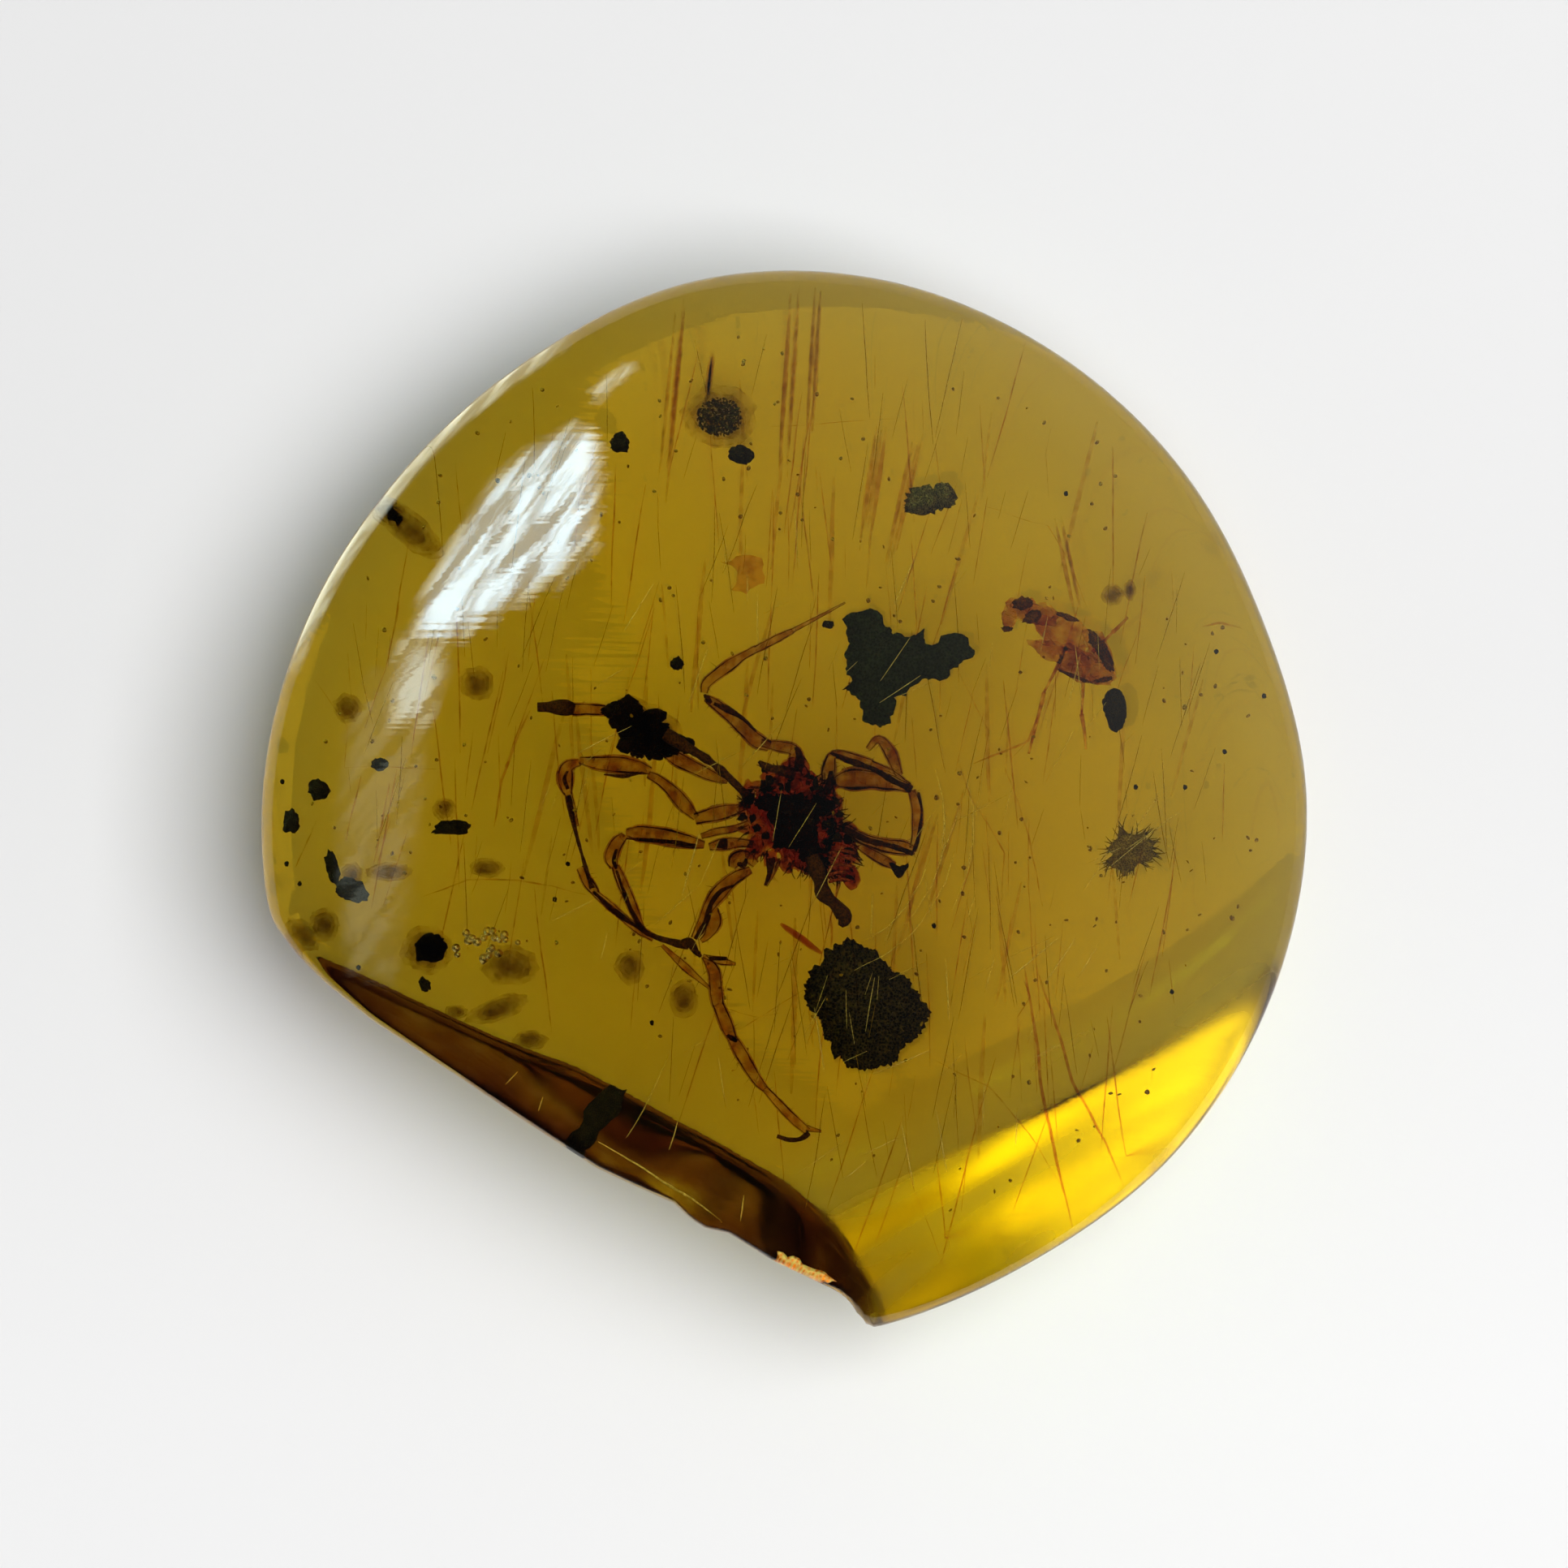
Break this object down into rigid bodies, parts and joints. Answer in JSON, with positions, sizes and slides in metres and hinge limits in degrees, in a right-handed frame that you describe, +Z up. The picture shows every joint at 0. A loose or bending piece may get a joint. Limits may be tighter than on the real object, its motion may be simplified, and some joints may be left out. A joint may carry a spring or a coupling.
{
  "type": "spider in amber",
  "caption": "Polished pebble of clear golden amber with a broken side, enclosing a fossil spider with spread legs and bits of forest litter; lies flat for display.",
  "frame": {"origin": "centre of the outline, on the flat base", "axes": "+Z up through the thickness, +Y away from the broken side along the longest extent, +X to the right as seen from above"},
  "size_m": [0.0238, 0.0241, 0.0062],
  "materials": {
    "amber": "hand-polished, fine scratches",
    "spider": "thin brown cuticle, dark at the body",
    "leaf": "matt, carbonised",
    "wood": "coarse, carbonised",
    "insect": "thin wrinkled cuticle",
    "plant": "matt, fibrous",
    "grain": "matt dark grains",
    "dust": "loose brown dust"
  },
  "bodies": {
    "root": {"amber_upper": "amber", "amber_lower": "amber", "spider": "spider", "leaf_fragment": "leaf", "wood_fragment": "wood", "insect_remains": "insect", "spiky_fragment": "plant", "brown_flake": "plant", "oval_pellet": "grain", "litter_clump": "grain", "dust_ball": "dust", "grain_01": "grain", "grain_02": "grain", "grain_03": "grain", "grain_04": "grain", "grain_05": "grain", "grain_06": "grain", "grain_07": "grain", "grain_08": "grain", "grain_09": "grain", "grain_10": "grain", "grain_11": "grain", "grain_12": "grain"}
  },
  "joints": []
}
